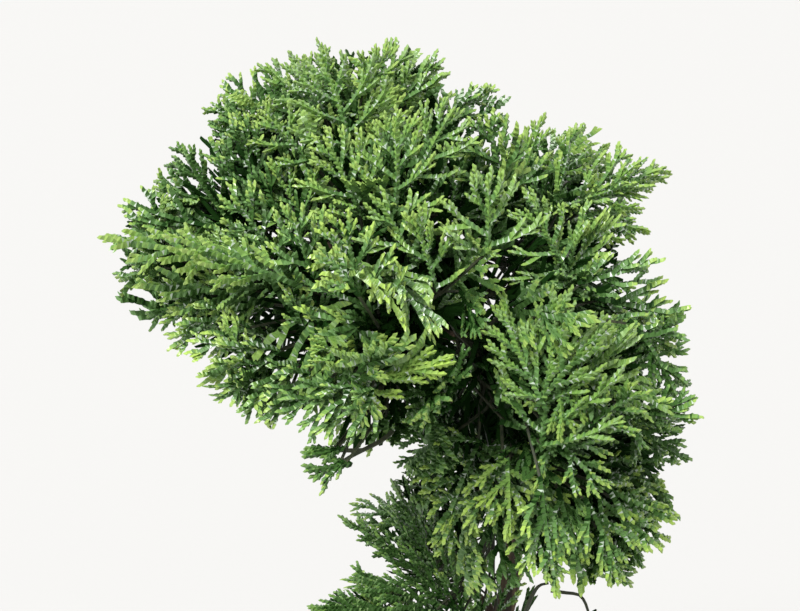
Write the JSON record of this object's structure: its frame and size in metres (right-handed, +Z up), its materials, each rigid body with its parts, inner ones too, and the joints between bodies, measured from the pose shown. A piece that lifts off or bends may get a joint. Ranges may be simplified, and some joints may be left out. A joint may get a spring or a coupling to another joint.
{
  "type": "spiral topiary",
  "caption": "Small potted evergreen clipped as a spiral: scale-leaved sprays wind down and round a thin, bent trunk from a full, leaning crown.",
  "frame": {"origin": "middle of the pot's flat underside", "axes": "+Z up along the trunk, -Y towards the side whose lower lobe of the crown hangs forward, +X to its right"},
  "size_m": [0.2327, 0.2229, 0.6864],
  "materials": {
    "pot": "matte",
    "soil": "crumbly and matte",
    "bark": "rough bark",
    "foliage": "satin scale needles"
  },
  "bodies": {
    "root": {"pot": "pot", "soil": "soil", "trunk": "bark", "bough_01": "bark", "bough_02": "bark", "bough_03": "bark", "bough_04": "bark", "bough_05": "bark", "bough_06": "bark", "bough_07": "bark", "bough_08": "bark", "bough_09": "bark", "bough_10": "bark", "bough_11": "bark", "bough_12": "bark", "bough_13": "bark", "bough_14": "bark", "bough_15": "bark", "bough_16": "bark", "bough_17": "bark", "bough_18": "bark", "bough_19": "bark", "bough_20": "bark", "bough_21": "bark", "bough_22": "bark", "bough_23": "bark", "foliage_cap": "foliage", "foliage_01": "foliage", "foliage_02": "foliage", "foliage_03": "foliage", "foliage_04": "foliage", "foliage_05": "foliage", "foliage_06": "foliage", "foliage_07": "foliage", "foliage_08": "foliage", "foliage_09": "foliage", "foliage_10": "foliage", "foliage_11": "foliage", "foliage_12": "foliage", "foliage_13": "foliage", "foliage_14": "foliage", "foliage_15": "foliage", "foliage_16": "foliage", "foliage_17": "foliage", "foliage_18": "foliage", "foliage_19": "foliage", "foliage_20": "foliage", "foliage_21": "foliage", "foliage_22": "foliage", "foliage_23": "foliage"}
  },
  "joints": []
}
